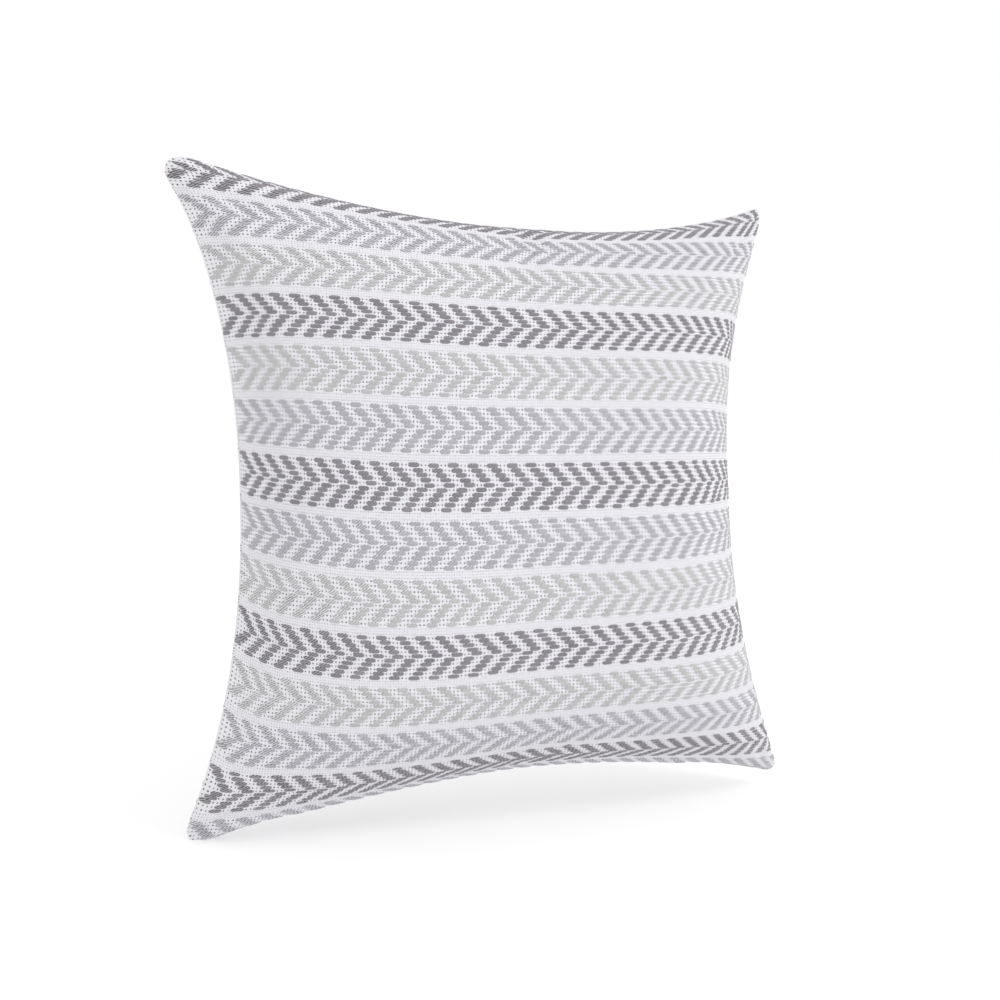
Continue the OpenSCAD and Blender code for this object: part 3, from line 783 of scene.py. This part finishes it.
halves = []
for side, panel in ((-1, front), (1, back)):
    mass = inside(panel, 0.84, 0.88)
    clump = (np.sin(U * 19 + 2 * np.sin(V * 7)) * np.sin(V * 23 + 2 * np.sin(U * 9 + side))
             + 0.5 * np.sin(U * 41 + side) * np.sin(V * 37))
    mass[..., 1] += side * (0.0016 * clump - 0.002) * (1 - U ** 2) * (1 - V ** 2)
    halves.append(mass)
behind = np.arange(GRID * GRID).reshape(GRID, GRID)
inner = np.zeros((GRID, GRID), bool)
inner[1:-1, 1:-1] = True
behind[inner] = GRID * GRID + np.arange(inner.sum())
quads = squares(GRID, GRID)
mass = made("fibre_mass", np.concatenate([halves[0].reshape(-1, 3), halves[1][inner]]),
            np.concatenate([quads, behind.reshape(-1)[quads[:, ::-1]]]))
mass.data.materials.append(fibre)
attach(mass, "pillow")
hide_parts("fibre_fill")


# ---- Labels ------------------------------------------------------------------------------
# Two blank satin labels caught in the left seam, one behind the insert and one before it.

satin, tree, shader = material("woven_satin_ribbon_white")
# Polyester satin: bright and smooth, with fine threads and a soft gloss.
shader.inputs["Roughness"].default_value = 0.4
shader.inputs["Sheen Weight"].default_value = 0.2
place = add(tree, "ShaderNodeTexCoord").outputs[3]
threads = add(tree, "ShaderNodeTexWave", {"Vector": place, "Scale": 500.0},
              bands_direction="Z").outputs[1]
shade = add(tree, "ShaderNodeMix", {0: threads, 6: linear("#ecebe8"), 7: linear("#f8f8f6")},
            data_type="RGBA").outputs[2]
tree.links.new(shade, shader.inputs["Base Color"])

for name, side, level in (("care_label", 1, 0.16), ("insert_label", -1, 0.285)):
    s, t = np.meshgrid(np.linspace(0, 1, 14), np.linspace(-1, 1, 20))
    v = (level + t * 0.018 - 0.222) / 0.222
    # It leaves the seam and follows the cover's inside, a little away from it
    u = -1 + 0.03 + 0.085 * s
    points = sampled(front if side < 0 else back, u, v)
    points[..., 1] -= side * (0.0022 + 0.0012 * np.sin(np.pi * s))
    points[..., 0] += 0.001
    ribbon = made(name + "_ribbon", points, squares(14, 20, flip=side > 0))
    wall = ribbon.modifiers.new("thickness", "SOLIDIFY")
    wall.thickness, wall.offset = 0.0003, 0
    ribbon.data.materials.append(satin)
    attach(ribbon, "pillow")
    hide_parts(name)


# ---- Studio ------------------------------------------------------------------------------
# A pale floor, lit a little from within so that it fades into the white room, two large soft
# lights, and the camera a little left of the front and just above the middle of the pillow.

floor = made("floor", np.array([[-6.0, -6, 0], [6, -6, 0], [6, 6, 0], [-6, 6, 0]]),
             np.array([[0, 1, 2, 3]]), smooth=False)
pale, tree, shader = material("painted_floor_pale")
shader.inputs["Base Color"].default_value = (0.55, 0.55, 0.55, 1)
shader.inputs["Emission Color"].default_value = (1, 1, 1, 1)
shader.inputs["Emission Strength"].default_value = 0.48
shader.inputs["Roughness"].default_value = 1.0
shader.inputs["Specular IOR Level"].default_value = 0.0
floor.data.materials.append(pale)

world = bpy.data.worlds.new("white_room")
world.use_nodes = True
world.node_tree.nodes["Background"].inputs[0].default_value = (1, 1, 1, 1)
world.node_tree.nodes["Background"].inputs[1].default_value = 1.0
bpy.context.scene.world = world
bpy.context.scene.view_settings.view_transform = "Standard"

for name, where, wide, power in (("key_light", (1.5, -1.3, 1.7), 1.0, 17.0),
                                 ("fill_light", (-0.9, -1.6, 1.5), 1.4, 0.6)):
    lamp = bpy.data.lights.new(name, "AREA")
    lamp.size, lamp.energy = wide, power
    light = bpy.data.objects.new(name, lamp)
    light.visible_camera = False
    light.location = where
    light.rotation_euler = (Vector((0, 0, 0.2)) - Vector(where)).to_track_quat("-Z", "Y").to_euler()
    bpy.context.scene.collection.objects.link(light)

azimuth, height, roll, lean = np.radians([-19.92, 2.26, 1.21, -1.51])
away = np.array([np.sin(azimuth) * np.cos(height), -np.cos(azimuth) * np.cos(height), np.sin(height)])
right = np.array([np.cos(azimuth), np.sin(azimuth), 0])
up = np.cross(away, right)
upright = np.array([[1, 0, 0], [0, np.cos(lean), -np.sin(lean)], [0, np.sin(lean), np.cos(lean)]])
axes = np.stack([right * np.cos(roll) + up * np.sin(roll),
                 up * np.cos(roll) - right * np.sin(roll), away])
axes = axes @ upright.T
camera = bpy.data.objects.new("camera", bpy.data.cameras.new("camera"))
camera.data.lens = 36 * 1.1385
camera.data.shift_x, camera.data.shift_y = -0.0138, -0.0084
aim = Vector((0.007, 0, 0.234))
eye = Vector(upright @ (away * 0.82)) + aim
camera.matrix_world = Matrix.Translation(eye) @ Matrix(axes.T.tolist()).to_4x4()
bpy.context.scene.collection.objects.link(camera)
bpy.context.scene.camera = camera
